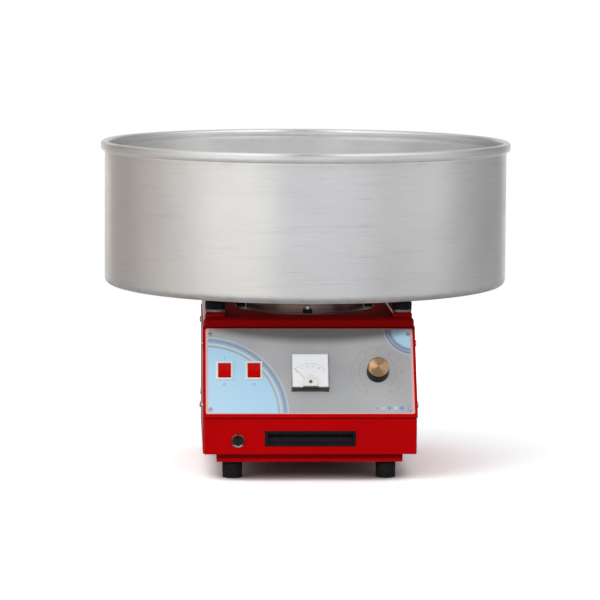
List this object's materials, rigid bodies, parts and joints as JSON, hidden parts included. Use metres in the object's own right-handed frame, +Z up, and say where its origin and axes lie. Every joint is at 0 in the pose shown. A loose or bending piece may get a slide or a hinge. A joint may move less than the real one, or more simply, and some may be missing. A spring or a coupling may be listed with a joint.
{
  "type": "cotton candy machine",
  "caption": "Electric cotton candy machine: wide aluminium bowl over a red steel casing with a slanted control panel and a storage drawer.",
  "frame": {"origin": "on the floor, under the spinning head's axis", "axes": "+X to the right seen from the front, +Y to the back, +Z up along the spinning head's axis"},
  "size_m": [0.5199, 0.52, 0.4083],
  "materials": {
    "red_paint": "gloss enamel over steel sheet",
    "black_rubber": "matt moulded rubber",
    "zinc": "bright zinc plate",
    "overlay_print": "printed polycarbonate film, grey with pale blue curves",
    "white_plastic": "moulded white",
    "black_plastic": "moulded black",
    "white_card": "printed card",
    "clear_plastic": "clear moulded cover",
    "grey_plastic": "moulded grey",
    "dark_plastic": "moulded dark grey",
    "galvanised": "galvanised sheet",
    "motor_enamel": "baked black enamel",
    "collar_steel": "pressed steel sheet, browned by heat",
    "phenolic": "brown phenolic board",
    "carbon": "carbon brush",
    "circuit_board": "solder resist",
    "black_aluminium": "black anodised",
    "ring_brass": "turned brass",
    "head_aluminium": "turned aluminium",
    "ceramic": "ceramic",
    "element_ribbon": "oxidised heating ribbon",
    "bowl_aluminium": "drawn sheet with fine lines round it",
    "chrome": "worn chrome plate",
    "lock_zinc": "dark die-cast zinc",
    "rocker_red": "moulded red",
    "cap_brass": "spun brass with fine rings",
    "needle_red": "painted aluminium"
  },
  "bodies": {
    "casing": {"base_tray": "red_paint", "rubber_feet": "black_rubber", "foot_fasteners": "zinc", "side_panel_right": "red_paint", "side_panel_left": "red_paint", "shell_screws": "zinc", "rear_panel": "red_paint", "deck_cover": "red_paint", "deck_rail_right": "red_paint", "deck_rail_left": "red_paint", "control_fascia": "red_paint", "panel_overlay": "overlay_print", "overlay_screws": "zinc", "switch_frames": "white_plastic", "meter_base": "white_plastic", "meter_scale": "white_card", "meter_cover": "clear_plastic", "meter_boss": "grey_plastic", "potentiometer": "zinc", "chassis_shelf": "galvanised", "drawer_runners": "galvanised", "motor": "motor_enamel", "motor_plate": "galvanised", "motor_studs": "zinc", "motor_spacers": "black_rubber", "stud_nuts": "black_plastic", "collar": "collar_steel", "brush_holder": "phenolic", "carbon_brushes": "carbon", "control_board": "circuit_board", "heat_sink": "black_aluminium", "terminal_block": "white_plastic", "cable_gland": "black_plastic", "bowl_mounts": "black_rubber", "mount_washers": "zinc", "mount_studs": "zinc"},
    "spinner": {"drive_shaft": "zinc", "slip_ring_hub": "phenolic", "slip_rings": "ring_brass", "head_base": "head_aluminium", "element_carrier": "ceramic", "heating_element": "element_ribbon", "floss_ring": "head_aluminium", "head_cover": "head_aluminium", "head_screws": "zinc"},
    "bowl": {"bowl_wall": "bowl_aluminium", "rim_wire": "zinc", "bowl_floor": "bowl_aluminium"},
    "drawer": {"drawer_front": "red_paint", "drawer_box": "galvanised", "drawer_pull": "black_plastic", "lock_barrel": "chrome"},
    "lock": {"lock_plug": "lock_zinc"},
    "rocker_left": {"rocker_left": "rocker_red"},
    "rocker_right": {"rocker_right": "rocker_red"},
    "knob": {"knob_body": "black_plastic", "knob_cap": "cap_brass", "knob_shaft": "zinc"},
    "needle": {"meter_needle": "needle_red"},
    "zero_screw": {"meter_zero_screw": "dark_plastic"}
  },
  "joints": [
    {"name": "spinner_spin", "type": "hinge", "parent": "casing", "child": "spinner", "pos_m": [0, 0, 0.2433], "axis": [0, 0, 1], "continuous": true},
    {"name": "bowl_lift", "type": "slide", "parent": "casing", "child": "bowl", "axis": [0, 0, 1], "range_m": [0, 0.3]},
    {"name": "drawer_slide", "type": "slide", "parent": "casing", "child": "drawer", "axis": [0, -1, 0], "range_m": [0, 0.15]},
    {"name": "lock_turn", "type": "hinge", "parent": "drawer", "child": "lock", "pos_m": [-0.0886, -0.176, 0.0508], "axis": [0, 1, 0], "range_deg": [0, 90]},
    {"name": "rocker_left_tilt", "type": "hinge", "parent": "casing", "child": "rocker_left", "pos_m": [-0.105, -0.14917, 0.13334], "axis": [1, 0, 0], "range_deg": [-18, 0]},
    {"name": "rocker_right_tilt", "type": "hinge", "parent": "casing", "child": "rocker_right", "pos_m": [-0.0688, -0.14917, 0.13334], "axis": [1, 0, 0], "range_deg": [-18, 0]},
    {"name": "knob_turn", "type": "hinge", "parent": "casing", "child": "knob", "pos_m": [0.0835, -0.15, 0.1315], "axis": [0, -0.866, 0.5], "range_deg": [-300, 0]},
    {"name": "needle_swing", "type": "hinge", "parent": "casing", "child": "needle", "pos_m": [0, -0.16814, 0.12009], "axis": [0, -0.866, 0.5], "range_deg": [-88, 0], "stiffness_Nm_per_rad": 0.0005},
    {"name": "zero_screw_turn", "type": "hinge", "parent": "casing", "child": "zero_screw", "pos_m": [0, -0.17333, 0.12309], "axis": [0, -0.866, 0.5], "range_deg": [-90, 90]}
  ]
}
